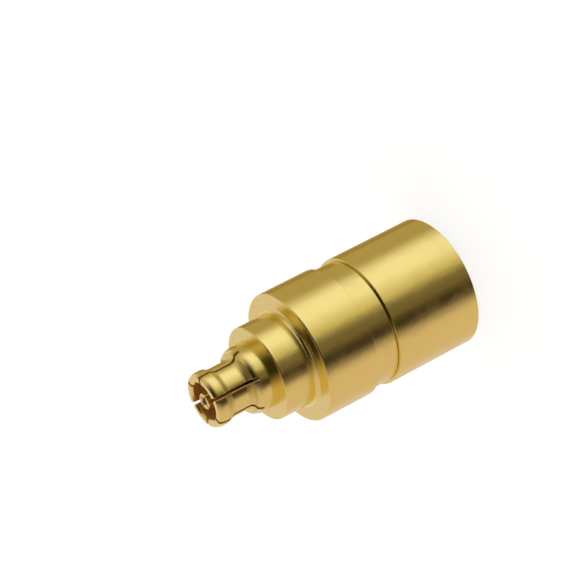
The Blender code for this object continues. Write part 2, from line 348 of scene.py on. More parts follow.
@dataclass(frozen=True)
class GoldPlate:
    """Gold plating over a surface that was turned with a fine feed.

    Inside a bore and on the walls of sawn slots it is duller, and its colour there is
    painted a deeper orange, which stands in for light bouncing between the gold walls.
    In bands of the height that are hard to polish it is duller. Scales are features in
    a metre, and heights of relief are in micrometres.
    """

    name: str
    colour: Colour = (0.89, 0.78, 0.29)
    worn_colour: Colour = (0.87, 0.75, 0.29)
    # Painted light: the bore's colour is a deeper orange that stands in for light bouncing between
    # the gold walls.
    bore_painted_bounce_colour: Colour = (1.0, 0.68, 0.22)
    deep_plain: float = 0.15
    # Painted light: the sawn walls' colour is an orange brown that stands in for light bouncing in
    # the slots; their dullness is real.
    slot_painted_bounce_colour: Colour = (0.80, 0.56, 0.26)
    sawn_plain: float = 0.6
    roughness: float = 0.19
    smear_roughness: float = 0.09
    dull_roughness: float = 0.2
    mark_height: float = 0.14
    marks_per_mm: float = 26.0
    wave_height: float = 6.5
    bore_r: float = NO_BORE
    bore_blend: float = 0.04
    rough_bands: tuple[Point, ...] = ()
    band_roughness: float = 0.22
    band_blend: float = 0.08
    cloud_scale: float = 420.0
    cloud_roughness: float = 0.02
    drift_scale: float = 160.0
    drift: float = 0.02
    smear_scale: float = 700.0
    smear_start: float = 0.48
    smear_full: float = 0.72
    wave_scale: float = 2600.0
    wave_stretch: Colour = (1.0, 1.0, 0.3)

    def material(self) -> bpy.types.Material:
        """Build the finish.

        Returns:
            The material, whose marks follow the turned surface.
        """
        surface = Surface(self.name)
        graph = surface.graph
        place = graph.place()
        uv = graph.add("ShaderNodeUVMap", {"uv_map": UV_NAME})
        along = graph.add("ShaderNodeSeparateXYZ", None, {0: uv}, output=1)
        clouds = graph.noise(place, self.cloud_scale, 3.0)
        drift = graph.noise(place, self.drift_scale, 1.0)
        smears = graph.noise(place, self.smear_scale, 4.0)
        smears = smears.smooth_step(self.smear_start, self.smear_full)
        marks = graph.line_noise(along + drift * self.drift, self.marks_per_mm, 2.0)
        roughness = self.roughness + clouds * self.cloud_roughness + smears * self.smear_roughness
        sawn = graph.add("ShaderNodeAttribute", {"attribute_name": SAWN_NAME}, output="Fac")
        in_bore = self._in_bore(graph, place)
        plate = graph.mix_colour(clouds, self.colour, self.worn_colour)
        # Painted light: the bore takes a deeper orange that stands in for light bouncing inside it.
        plate = graph.mix_colour(in_bore, plate, self.bore_painted_bounce_colour)
        # Painted light: sawn walls and broken edges take an orange brown that stands in for light
        # bouncing in the slots.
        surface.vary("Base Color", graph.mix_colour(sawn, plate, self.slot_painted_bounce_colour))
        plain = (in_bore * self.deep_plain).larger(sawn * self.sawn_plain)
        surface.vary("Metallic", 1.0 - plain)
        roughness = roughness + in_bore.larger(sawn) * self.dull_roughness
        for middle, half_height in self.rough_bands:
            in_band = self._in_band(graph, place, middle, half_height)
            roughness = roughness + in_band * self.band_roughness
        surface.vary("Roughness", roughness)
        drawn = graph.vector("MULTIPLY", place, self.wave_stretch)
        waves = graph.noise(drawn, self.wave_scale, 3.0)
        surface.relief(marks * self.mark_height + waves * self.wave_height)
        return surface.material

    def _in_band(self, graph: Graph, place: Wire, middle: float, half_height: float) -> Wire:
        """Whether the point lies in a band of the height that is hard to polish.

        Args:
            graph: The tree to add nodes to.
            place: The point's place.
            middle: The height of the band's middle.
            half_height: The distance from there to its ends.

        Returns:
            0 away from the band and 1 in it.
        """
        height = graph.height_of(place) / MM
        off = (height - middle).larger(middle - height)
        return off.smooth_step(half_height + self.band_blend, half_height)

    def _in_bore(self, graph: Graph, place: Wire) -> Wire:
        """Whether the point lies in the bore, where the plating is dull and painted deeper orange for
        bounce light.

        Args:
            graph: The tree to add nodes to.
            place: The point's place.

        Returns:
            0 outside and 1 in the bore.
        """
        flat = graph.vector("MULTIPLY", place, (1.0, 1.0, 0.0))
        length = graph.add("ShaderNodeVectorMath", {"operation": "LENGTH"}, {0: flat}, "Value")
        inner = self.bore_r + self.bore_blend / 4
        return (length / MM).smooth_step(self.bore_r + self.bore_blend, inner)


@dataclass(frozen=True)
class TurnedMetal:
    """Bare turned metal of the hidden inner pieces."""

    name: str
    colour: Colour
    dull_colour: Colour
    roughness: float = 0.28
    cloud_roughness: float = 0.1
    cloud_scale: float = 900.0
    mark_scale: float = 24000.0
    mark_height: float = 0.4

    def material(self) -> bpy.types.Material:
        """Build the finish.

        Returns:
            The material, with rings that follow the height.
        """
        surface = Surface(self.name)
        graph = surface.graph
        place = graph.place()
        clouds = graph.noise(place, self.cloud_scale, 3.0)
        marks = graph.line_noise(graph.height_of(place), self.mark_scale, 2.0)
        surface.fix("Metallic", 1.0)
        surface.vary("Base Color", graph.mix_colour(clouds, self.colour, self.dull_colour))
        surface.vary("Roughness", self.roughness + clouds * self.cloud_roughness)
        surface.relief(marks * self.mark_height)
        return surface.material


@dataclass(frozen=True)
class WaxyPlastic:
    """White fluoropolymer that was turned and has a waxy skin."""

    name: str
    colour: Colour = (0.84, 0.83, 0.79)
    shade: Colour = (0.78, 0.77, 0.72)
    roughness: float = 0.42
    grain_roughness: float = 0.1
    cloud_scale: float = 1500.0
    grain_scale: float = 16000.0
    glow: float = 0.25
    glow_depth: float = 0.4 * MM

    def material(self) -> bpy.types.Material:
        """Build the finish.

        Returns:
            The material.
        """
        surface = Surface(self.name)
        graph = surface.graph
        place = graph.place()
        clouds = graph.noise(place, self.cloud_scale, 3.0)
        grain = graph.noise(place, self.grain_scale, 2.0)
        surface.fix("Subsurface Weight", self.glow)
        surface.fix("Subsurface Scale", self.glow_depth)
        surface.vary("Base Color", graph.mix_colour(clouds, self.colour, self.shade))
        surface.vary("Roughness", self.roughness + grain * self.grain_roughness)
        surface.relief(grain)
        return surface.material


@dataclass(frozen=True)
class ResistiveFilm:
    """Dark film on fired ceramic."""

    name: str
    colour: Colour = (0.09, 0.10, 0.11)
    bare: Colour = (0.20, 0.21, 0.22)
    roughness: float = 0.5
    grain_roughness: float = 0.2
    grain_scale: float = 22000.0
    grain_height: float = 3.0
    speck_start: float = 0.55
    speck_full: float = 0.75

    def material(self) -> bpy.types.Material:
        """Build the finish.

        Returns:
            The material.
        """
        surface = Surface(self.name)
        graph = surface.graph
        grain = graph.noise(graph.place(), self.grain_scale, 4.0)
        specks = grain.smooth_step(self.speck_start, self.speck_full)
        surface.vary("Base Color", graph.mix_colour(specks, self.colour, self.bare))
        surface.vary("Roughness", self.roughness + grain * self.grain_roughness)
        surface.relief(grain * self.grain_height)
        return surface.material


@dataclass(frozen=True)
class Chain:
    """The finished points of an outline."""

    points: tuple[Point, ...]
    closed: bool

    def along(self) -> list[float]:
        """Distance along the outline at each point, and at its end if it is closed."""
        loop = [*self.points, self.points[0]] if self.closed else list(self.points)
        distances = [0.0]
        for start, end in zip(loop, loop[1:]):
            distances.append(distances[-1] + math.dist(start, end))
        return distances

    def steps(self) -> list[tuple[int, int]]:
        """Places of the two points of each straight piece."""
        count = len(self.points)
        last = count if self.closed else count - 1
        return [(index, (index + 1) % count) for index in range(last)]


@dataclass
class Outline:
    """Outline of a turned piece as radii and heights.

    It runs up the inner side and down the outer side. A closed outline makes a
    ring, and an open one starts and ends on the axis.
    """

    closed: bool
    corners: list[tuple[float, float, float]] = field(default_factory=list)
    round_steps: int = 7
    arc_steps: int = 10
    support: float = 0.03

    def corner(self, radius: float, height: float, rounding: float = 0.0) -> Outline:
        """Add one corner.

        Args:
            radius: Its distance from the axis.
            height: Its height.
            rounding: Radius of the round or fillet that replaces it.

        Returns:
            The outline.
        """
        self.corners.append((radius, height, rounding))
        return self

    def arc(self, centre: Point, radii: Point, start: Facing, end: Facing) -> Outline:
        """Add a quarter of a circle or oval.

        Args:
            centre: Its centre.
            radii: Its half widths outward and upward.
            start: The direction of its first point.
            end: The direction of its last point.

        Returns:
            The outline.
        """
        for step in range(self.arc_steps + 1):
            share = step / self.arc_steps
            angle = math.radians(start.value + (end.value - start.value) * share)
            radius = centre[0] + radii[0] * math.cos(angle)
            self.corner(radius, centre[1] + radii[1] * math.sin(angle))
        return self

    def ramp(self, top: Point, bottom: Point, ease: float = 1.0, steps: int = 12) -> Outline:
        """Add a slope between two radii.

        Args:
            top: Its first point.
            bottom: Its last point.
            ease: 0 for a straight slope, 1 for one that runs level at both ends.
            steps: How many straight pieces it has.

        Returns:
            The outline.
        """
        for step in range(steps + 1):
            share = step / steps
            eased = share + ease * ((1 - math.cos(math.pi * share)) / 2 - share)
            radius = top[0] + (bottom[0] - top[0]) * eased
            self.corner(radius, top[1] + (bottom[1] - top[1]) * share)
        return self

    def chain(self, cut_height: float | None = None) -> Chain:
        """Work out the finished outline.

        Args:
            cut_height: A height at which every wall gets a point, for slots that end there.

        Returns:
            The points, with rounds in place of corners and extra points near their ends.
        """
        rounded = self._rounded()
        if self.closed:
            rounded.append(rounded[0])
        finished = [rounded[0]]
        for start, end in zip(rounded, rounded[1:]):
            finished.extend(self._between(start, end, cut_height))
            finished.append(end)
        return Chain(tuple(finished[:-1] if self.closed else finished), self.closed)

    def _rounded(self) -> list[Point]:
        """Replace each corner that has a rounding by an arc.

        Returns:
            The points of the outline.
        """
        made: list[Point] = []
        count = len(self.corners)
        for index, (radius, height, rounding) in enumerate(self.corners):
            if rounding <= 0:
                made.append((radius, height))
                continue
            here = Vector((radius, height))
            before = Vector(self.corners[index - 1][:2]) - here
            after = Vector(self.corners[(index + 1) % count][:2]) - here
            made.extend(self._round(here, before, after, rounding))
        return made

    def _round(self, here: Vector, before: Vector, after: Vector, rounding: float) -> list[Point]:
        """Points of the arc that replaces one corner.

        Args:
            here: The corner.
            before: The way to the corner before it.
            after: The way to the corner after it.
            rounding: The arc's radius.

        Returns:
            The arc's points.
        """
        first, second = before.normalized(), after.normalized()
        half_angle = first.angle(second) / 2
        reach = rounding / math.tan(half_angle)
        centre = here + (first + second).normalized() * (rounding / math.sin(half_angle))
        start = here + first * reach - centre
        end = here + second * reach - centre
        sweep = start.angle_signed(end)
        made: list[Point] = []
        for step in range(self.round_steps + 1):
            turn = Matrix.Rotation(-sweep * step / self.round_steps, 2)
            spot = centre + turn @ start
            made.append((spot.x, spot.y))
        return made

    def _between(self, start: Point, end: Point, cut_height: float | None) -> list[Point]:
        """Extra points on one straight piece.

        Args:
            start: Its first point.
            end: Its last point.
            cut_height: A height that gets a point if the piece crosses it.

        Returns:
            The extra points, in order.
        """
        length = math.dist(start, end)
        shares: list[float] = []
        if length > SUPPORT_ROOM * self.support:
            shares += [self.support / length, 1 - self.support / length]
        if cut_height is not None and (start[1] - cut_height) * (end[1] - cut_height) < 0:
            shares.append((cut_height - start[1]) / (end[1] - start[1]))
        way = (end[0] - start[0], end[1] - start[1])
        return [(start[0] + way[0] * share, start[1] + way[1] * share) for share in sorted(shares)]


@dataclass(frozen=True)
class TreeInput:
    """One named input of a geometry tree."""

    name: str
    kind: str
    value: object


class GeometryTree:
    """A geometry tree with named inputs, and the modifier that runs it."""

    def __init__(self, name: str, inputs: Sequence[TreeInput]) -> None:
        """Make the tree and its sockets.

        Args:
            name: The tree's name.
            inputs: Its inputs after the geometry.
        """
        self.tree = bpy.data.node_groups.new(name, "GeometryNodeTree")
        self.inputs: dict[str, object] = {}
        interface = self.tree.interface
        interface.new_socket("Geometry", in_out="INPUT", socket_type="NodeSocketGeometry")
        interface.new_socket("Geometry", in_out="OUTPUT", socket_type="NodeSocketGeometry")
        for item in inputs:
            socket = interface.new_socket(item.name, in_out="INPUT", socket_type=item.kind)
            self.inputs[socket.identifier] = item.value
        self.graph = Graph(self.tree)
        self.entry = self.tree.nodes.new("NodeGroupInput")
        self.exit = self.tree.nodes.new("NodeGroupOutput")

    def given(self, name: str) -> Wire:
        """One of the tree's inputs as a wire."""
        return Wire(self.graph, self.entry.outputs[name])

    def weld(self, geometry: Wire) -> Wire:
        """Join the points that meet.

        Args:
            geometry: The geometry with open seams.

        Returns:
            The closed geometry.
        """
        values = {"Geometry": geometry, "Distance": self.given("Weld")}
        return self.graph.add("GeometryNodeMergeByDistance", None, values)

    def end(self, geometry: Wire) -> None:
        """Realize, shade smooth and set the material, then leave the tree.

        Args:
            geometry: The finished geometry.
        """
        plain = self.graph.add("GeometryNodeRealizeInstances", None, {"Geometry": geometry})
        smooth = self.graph.add("GeometryNodeSetShadeSmooth", None, {"Geometry": plain})
        values = {"Geometry": smooth, "Material": self.given("Material")}
        dressed = self.graph.add("GeometryNodeSetMaterial", None, values)
        self.tree.links.new(dressed.socket, self.exit.inputs[0])

    def run(self, source: bpy.types.Mesh, name: str) -> bpy.types.Object:
        """Run the tree on a mesh and keep the result as a plain mesh.

        Args:
            source: The mesh that the tree starts from.
            name: The name of the new object.

        Returns:
            The object, without modifiers.
        """
        item = bpy.data.objects.new(name, source)
        bpy.context.scene.collection.objects.link(item)
        modifier = item.modifiers.new(self.tree.name, "NODES")
        modifier.node_group = self.tree
        for identifier, value in self.inputs.items():
            modifier[identifier] = value
        depsgraph = bpy.context.evaluated_depsgraph_get()
        mesh = bpy.data.meshes.new_from_object(item.evaluated_get(depsgraph))
        item.modifiers.clear()
        item.data = mesh
        mesh.name = name
        mesh.set_sharp_from_angle(angle=math.radians(SHARP_ANGLE))
        return item


@dataclass
class TurnedPiece:
    """A piece that is turned all round from one outline."""

    name: str
    outline: Outline
    material: bpy.types.Material
    segments: int = 192

    def make(self) -> bpy.types.Object:
        """Turn the outline about the axis.

        Returns:
            The finished piece.
        """
        inputs = [
            TreeInput("Segments", "NodeSocketInt", self.segments),
            TreeInput("Weld", "NodeSocketFloat", WELD),
            TreeInput("Material", "NodeSocketMaterial", self.material),
        ]
        tree = GeometryTree(f"turn_{self.name}", inputs)
        tree.end(tree.weld(self._bent_grid(tree)))
        return tree.run(self._outline_mesh(), self.name)

    def _outline_mesh(self) -> bpy.types.Mesh:
        """Make the outline as a row of points that know their distance along it.

        Returns:
            The row, which ends where it starts if the outline is closed.
        """
        chain = self.outline.chain()
        points = [*chain.points, chain.points[0]] if chain.closed else list(chain.points)
        mesh = bpy.data.meshes.new(self.name)
        mesh.from_pydata([(radius * MM, 0.0, height * MM) for radius, height in points], [], [])
        stored = mesh.attributes.new("along", "FLOAT", "POINT")
        stored.data.foreach_set("value", chain.along())
        return mesh

    def _bent_grid(self, tree: GeometryTree) -> Wire:
        """Bend a grid of segments by outline points round the axis.

        Args:
            tree: The tree to add nodes to.

        Returns:
            The bent grid, with its map and with open seams.
        """
        graph = tree.graph
        count, column, row = self._grid_places(tree)
        spot = self._read(tree, "FLOAT_VECTOR", graph.add("GeometryNodeInputPosition"), row)
        stored = graph.add(
            "GeometryNodeInputNamedAttribute", {"data_type": "FLOAT"}, {"Name": "along"}
        )
        along = self._read(tree, "FLOAT", stored, row)
        columns = tree.given("Segments")
        share = column / columns
        # The grid is bent clockwise, so that its faces point outwards.
        turning = {"Vector": spot, "Angle": share * (-2 * math.pi)}
        turned = graph.add("ShaderNodeVectorRotate", {"rotation_type": "Z_AXIS"}, turning)
        sizes = {"Vertices X": columns + 1.0, "Vertices Y": count}
        grid = graph.add("GeometryNodeMeshGrid", None, sizes, output="Mesh")
        held = graph.node("GeometryNodeCaptureAttribute", {"domain": "POINT"}, {"Geometry": grid})
        held.capture_items.new("VECTOR", "turning")
        uv = graph.add("ShaderNodeCombineXYZ", None, {0: share, 1: along})
        graph.tree.links.new(uv.socket, held.inputs[1])
        moved = {"Geometry": Wire(graph, held.outputs[0]), "Position": turned}
        shaped = graph.add("GeometryNodeSetPosition", None, moved)
        mapping = {"Geometry": shaped, "Name": UV_NAME, "Value": Wire(graph, held.outputs[1])}
        domain = {"data_type": "FLOAT2", "domain": "CORNER"}
        return graph.add("GeometryNodeStoreNamedAttribute", domain, mapping)

    @staticmethod
    def _grid_places(tree: GeometryTree) -> tuple[Wire, Wire, Wire]:
        """Work out where each point of the grid lies in it.

        Args:
            tree: The tree to add nodes to.

        Returns:
            How many rows there are, and each point's column and row.
        """
        graph = tree.graph
        size = {"component": "MESH"}
        chain = {"Geometry": tree.given("Geometry")}
        count = graph.add("GeometryNodeAttributeDomainSize", size, chain, "Point Count")
        index = graph.add("GeometryNodeInputIndex")
        column = ((index + 0.5) / count).floor()
        return count, column, index - column * count

    @staticmethod
    def _read(tree: GeometryTree, kind: str, value: Wire, row: Wire) -> Wire:
        """Read a value of the outline's points.

        Args:
            tree: The tree to add nodes to.
            kind: The value's data type.
            value: The value on the outline.
            row: The place of the point to read.

        Returns:
            The value at that point.
        """
        settings = {"data_type": kind, "domain": "POINT"}
        values = {"Geometry": tree.given("Geometry"), "Value": value, "Index": row}
        return tree.graph.add("GeometryNodeSampleIndex", settings, values)


class FingerForm:
    """Mesh of one finger under construction, with its map and its sawn faces."""

    def __init__(self) -> None:
        """Start an empty mesh."""
        self.form = bmesh.new()
        self.map = self.form.loops.layers.uv.new(UV_NAME)
        self.sawn = self.form.faces.layers.float.new(SAWN_NAME)
        self.places: dict[bmesh.types.BMVert, Point] = {}

    def vertex(self, point: Point, angle: float, along: float) -> bmesh.types.BMVert:
        """Add a vertex and note its place on the turned surface.

        Args:
            point: Its radius and height.
            angle: Its angle round the axis, in radians.
            along: Its distance along the outline.

        Returns:
            The vertex.
        """
        radius, height = point
        spot = Vector((radius * math.cos(angle), radius * math.sin(angle), height))
        made = self.form.verts.new(spot * MM)
        self.places[made] = (angle / (2 * math.pi), along)
        return made

    def face(self, corners: Sequence[bmesh.types.BMVert], sawn: float = 0.0) -> None:
        """Add a face, unless fewer than three of its corners differ.

        Args:
            corners: Its vertices, counterclockwise from outside.
            sawn: How dull its plating is, and how much painted slot light its colour takes, from 0 to
                1.
        """
        unique = list(dict.fromkeys(corners))
        if len(unique) < 3:
            return
        made = self.form.faces.new(unique)
        made[self.sawn] = sawn
        for loop in made.loops:
            loop[self.map].uv = self.places[loop.vert]

    def mesh(self, name: str) -> bpy.types.Mesh:
        """Turn the form into a mesh.

        Args:
            name: The mesh's name.

        Returns:
            The mesh.
        """
        made = bpy.data.meshes.new(name)
        self.form.to_mesh(made)
        self.form.free()
        return made


@dataclass
class SlottedPiece:
    """A turned piece whose front is slotted into equal fingers.

    One finger and its share of the ring behind it are made as a mesh, and a
    geometry tree repeats them round the axis.
    """

    name: str
    outline: Outline
    material: bpy.types.Material
    count: int
    slot_width: float
    slot_height: float
    first_slot: float
    edge: float = 0.02
    edge_sawn: float = 0.2
    columns: int = 28

    def make(self) -> bpy.types.Object:
        """Make the piece.

        Returns:
            The finished piece.
        """
        first_angle = math.radians(self.first_slot + 180.0 / self.count)
        inputs = [
            TreeInput("Count", "NodeSocketInt", self.count),
            TreeInput("First angle", "NodeSocketFloat", first_angle),
            TreeInput("Weld", "NodeSocketFloat", WELD),
            TreeInput("Material", "NodeSocketMaterial", self.material),
        ]
        tree = GeometryTree(f"repeat_{self.name}", inputs)
        graph = tree.graph
        index = graph.add("GeometryNodeInputIndex")
        angle = index / tree.given("Count") * (2 * math.pi) + tree.given("First angle")
        rotation = graph.add("ShaderNodeCombineXYZ", None, {2: angle})
        stands = graph.add("GeometryNodePoints", None, {"Count": tree.given("Count")})
        copies = {"Points": stands, "Instance": tree.given("Geometry"), "Rotation": rotation}
        ring = graph.add("GeometryNodeInstanceOnPoints", None, copies)
        plain = graph.add("GeometryNodeRealizeInstances", None, {"Geometry": ring})
        tree.end(tree.weld(plain))
        return tree.run(self._finger_mesh(), self.name)

    def _edge_angle(self, radius: float, offset: float) -> float:
        """Angle from the finger's middle to a line beside the slot's middle plane.

        Args:
            radius: Distance from the axis.
            offset: Distance of the line from the slot's middle plane.

        Returns:
            The angle in radians.
        """
        return math.pi / self.count - math.asin(min(1.0, offset / radius))

    def _finger_mesh(self) -> bpy.types.Mesh:
        """Make one finger, centred on the X axis.

        Returns:
            Its mesh, open only where it meets its neighbours in the ring.
        """
        chain = self.outline.chain(self.slot_height)
        form = FingerForm()
        rows = [
            self._row(form, point, along) for point, along in zip(chain.points, chain.along())
        ]
        for index, after in chain.steps():
            in_ring = self._in_ring(chain, index) and self._in_ring(chain, after)
            first = 0 if in_ring else 1
            for place in range(first, self.columns + 2 - first):
                upper, lower = rows[index], rows[after]
                form.face((upper[place], lower[place], lower[place + 1], upper[place + 1]))
        run = self._slotted_run(chain)
        for side in (-1, 1):
            self._close_side(form, chain, rows, run, side)
        return form.mesh(self.name)

    def _in_ring(self, chain: Chain, index: int) -> bool:
        """Whether a point of the outline lies in the closed ring behind the slots."""
        return chain.points[index][1] <= self.slot_height + LEVEL_TOLERANCE

    def _row(self, form: FingerForm, point: Point, along: float) -> list[bmesh.types.BMVert]:
        """Add the vertices that one point of the outline makes across the finger.

        Args:
            form: The mesh.
            point: The outline's point.
            along: Its distance along the outline.

        Returns:
            The vertices. The first and last lie in the slots' middle planes in the
            ring, and in front of it they repeat their neighbours.
        """
        radius, height = point
        if radius < LEVEL_TOLERANCE:
            return [form.vertex(point, 0.0, along)] * (self.columns + 3)
        half = math.pi / self.count
        # Near the axis a slot is wider than the row, which still keeps its order.
        reach = max(half / 2, self._edge_angle(radius, self.slot_width / 2 + self.edge))
        angles = [-reach + 2 * reach * step / self.columns for step in range(self.columns + 1)]
        row = [form.vertex(point, angle, along) for angle in angles]
        if height > self.slot_height + LEVEL_TOLERANCE:
            return [row[0], *row, row[-1]]
        return [form.vertex(point, -half, along), *row, form.vertex(point, half, along)]

    def _slotted_run(self, chain: Chain) -> list[int]:
        """Places of the outline's points along a slot, with the two where it ends.

        Args:
            chain: The finished outline.

        Returns:
            The places, in order.
        """
        in_ring = [self._in_ring(chain, index) for index in range(len(chain.points))]
        run = [next(a for a, b in chain.steps() if in_ring[a] and not in_ring[b])]
        while len(run) == 1 or not in_ring[run[-1]]:
            run.append((run[-1] + 1) % len(in_ring))
        return run

    def _close_side(
        self,
        form: FingerForm,
        chain: Chain,
        rows: Sequence[Sequence[bmesh.types.BMVert]],
        run: Sequence[int],
        side: int,
    ) -> None:
        """Add the broken edge, the wall and the floor on one side of the finger.

        Args:
            form: The mesh.
            chain: The finished outline.
            rows: The vertices of each point's row.
            run: Places of the outline's points along the slot.
            side: -1 or 1, the side of the finger.
        """
        border, outer = (1, 0) if side < 0 else (self.columns + 1, self.columns + 2)
        along = chain.along()
        inset = self._inset([chain.points[place] for place in run])
        wall = [
            form.vertex(point, side * self._edge_angle(point[0], self.slot_width / 2), along[place])
            for place, point in zip(run, inset)
        ]
        edge = [rows[place][border] for place in run]
        # Broken edges take a fifth of the sawn faces' dullness and painted slot light, and walls and
        # floors take all of it.
        for index in range(len(run) - 1):
            corners = (edge[index], edge[index + 1], wall[index + 1], wall[index])
            form.face(corners[::side], sawn=self.edge_sawn)
        form.face(wall[::side], sawn=1.0)
        floor = [rows[run[0]][outer], edge[0], wall[0], wall[-1], edge[-1], rows[run[-1]][outer]]
        form.face(floor[::side], sawn=1.0)

    def _inset(self, points: Sequence[Point]) -> list[Point]:
        """Move points of the outline inward by the broken edge.

        Args:
            points: The outline's points along the slot.

        Returns:
            The moved points.
        """
        line = [Vector(point) for point in points]
        made: list[Point] = []
        for index, here in enumerate(line):
            neighbours = line[max(0, index - 1) : index + 2]
            ways = [(b - a).normalized() for a, b in zip(neighbours, neighbours[1:])]
            inward = [Vector((way.y, -way.x)) for way in ways]
            mean = sum(inward, Vector((0.0, 0.0))).normalized()
            shift = mean * (self.edge / max(MITRE_LIMIT, mean.dot(inward[0])))
            made.append((here.x + shift.x, here.y + shift.y))
        return made


def report_piece(item: bpy.types.Object) -> None:
    """Log a piece's faces, its volume and the edges that don't join exactly two faces.

    Args:
        item: The piece.
    """
    form = bmesh.new()
    form.from_mesh(item.data)
    loose = sum(1 for edge in form.edges if not edge.is_manifold)
    volume = form.calc_volume(signed=True) / MM**3
    faces = len(form.faces)
    form.free()
    LOG.info("%s: %d faces, %.2f cubic mm, %d open edges", item.name, faces, volume, loose)


@dataclass
class Axis:
    """Heights along the axis that several pieces share."""

    gap: float = 0.02
    rear_length: float = 5.4
    groove_width: float = 1.42
    flange_length: float = 3.28
    nose_length: float = 2.05
    finger_reach: float = 3.5
    collar_seat: float = 1.97
    bead_length: float = 2.05

    @property
    def groove_front(self) -> float:
        """Front end of the groove."""
        return self.rear_length + self.groove_width

    @property
    def shoulder(self) -> float:
        """Face of the flange."""
        return self.groove_front + self.flange_length

    @property
    def nose(self) -> float:
        """Face of the nose."""
        return self.shoulder + self.nose_length

    @property
    def tip(self) -> float:
        """Tips of the fingers."""
        return self.nose + self.finger_reach

    @property
    def collar_rear(self) -> float:
        """Rear end of the spring contact."""
        return self.nose - self.collar_seat

    @property
    def bead_front(self) -> float:
        """Front face of the bead."""
        return self.collar_rear - self.gap

    @property
    def bead_rear(self) -> float:
        """Rear face of the bead."""
        return self.bead_front - self.bead_length


@dataclass
class Housing:
    """Rear body and front body."""

    axis: Axis
    body_r: float = 3.75
    body_edge: float = 0.1
    rear_edge: float = 0.05
    end_wall: float = 1.2
    cup_bore_r: float = 3.02
    load_bore_r: float = 2.32
    groove_r: float = 3.57
    groove_edge: float = 0.03
    nose_r: float = 2.7
    nose_edge: float = 0.08
    nose_fillet: float = 0.25
    spigot_r: float = 3.0
    spigot_length: float = 1.5
    spigot_edge: float = 0.12
    bead_bore_r: float = 1.47
    collar_bore_r: float = 1.928
    mouth_edge: float = 0.005
    inner_corner: float = 0.03

    def build(self) -> list[bpy.types.Object]:
        """Make both bodies.

        Returns:
            The pieces.
        """
        return [self._rear(), self._front()]

    def _rear(self) -> bpy.types.Object:
        """Make the cup that closes the rear end."""
        counterbore = self.axis.rear_length - self.spigot_length - self.axis.gap
        outline = Outline(closed=False)
        outline.corner(0.0, self.end_wall)
        outline.corner(self.load_bore_r, self.end_wall, self.inner_corner)
        outline.corner(self.load_bore_r, counterbore, self.inner_corner)
        outline.corner(self.cup_bore_r, counterbore, self.inner_corner)
        outline.corner(self.cup_bore_r, self.axis.rear_length, self.inner_corner)
        outline.corner(self.body_r, self.axis.rear_length, self.groove_edge)
        outline.corner(self.body_r, 0.0, self.rear_edge)
        outline.corner(0.0, 0.0)
        plate = GoldPlate("rear_body_gold").material()
        piece = TurnedPiece("rear_body_plated", outline, plate).make()
        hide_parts("rear_body")
        return piece

    def _front(self) -> bpy.types.Object:
        """Make the housing with nose, flange, groove floor and spigot."""
        axis = self.axis
        spigot_end = axis.rear_length - self.spigot_length
        spigot_root = axis.rear_length + axis.gap
        outline = Outline(closed=True)
        outline.corner(self.collar_bore_r, axis.nose, self.mouth_edge)
        outline.corner(self.nose_r, axis.nose, self.nose_edge)
        outline.corner(self.nose_r, axis.shoulder, self.nose_fillet)
        outline.corner(self.body_r, axis.shoulder, self.body_edge)
        outline.corner(self.body_r, axis.groove_front, self.groove_edge)
        outline.corner(self.groove_r, axis.groove_front, self.inner_corner)
        outline.corner(self.groove_r, spigot_root)
        outline.corner(self.spigot_r, spigot_root)
        outline.corner(self.spigot_r, spigot_end, self.spigot_edge)
        outline.corner(self.load_bore_r, spigot_end, self.inner_corner)
        outline.corner(self.load_bore_r, axis.bead_rear)
        outline.corner(self.bead_bore_r, axis.bead_rear, self.inner_corner)
        outline.corner(self.bead_bore_r, axis.bead_front)
        outline.corner(self.collar_bore_r, axis.bead_front)
        plate = GoldPlate("front_body_gold").material()
        piece = TurnedPiece("front_body_plated", outline, plate).make()
        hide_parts("front_body")
        return piece


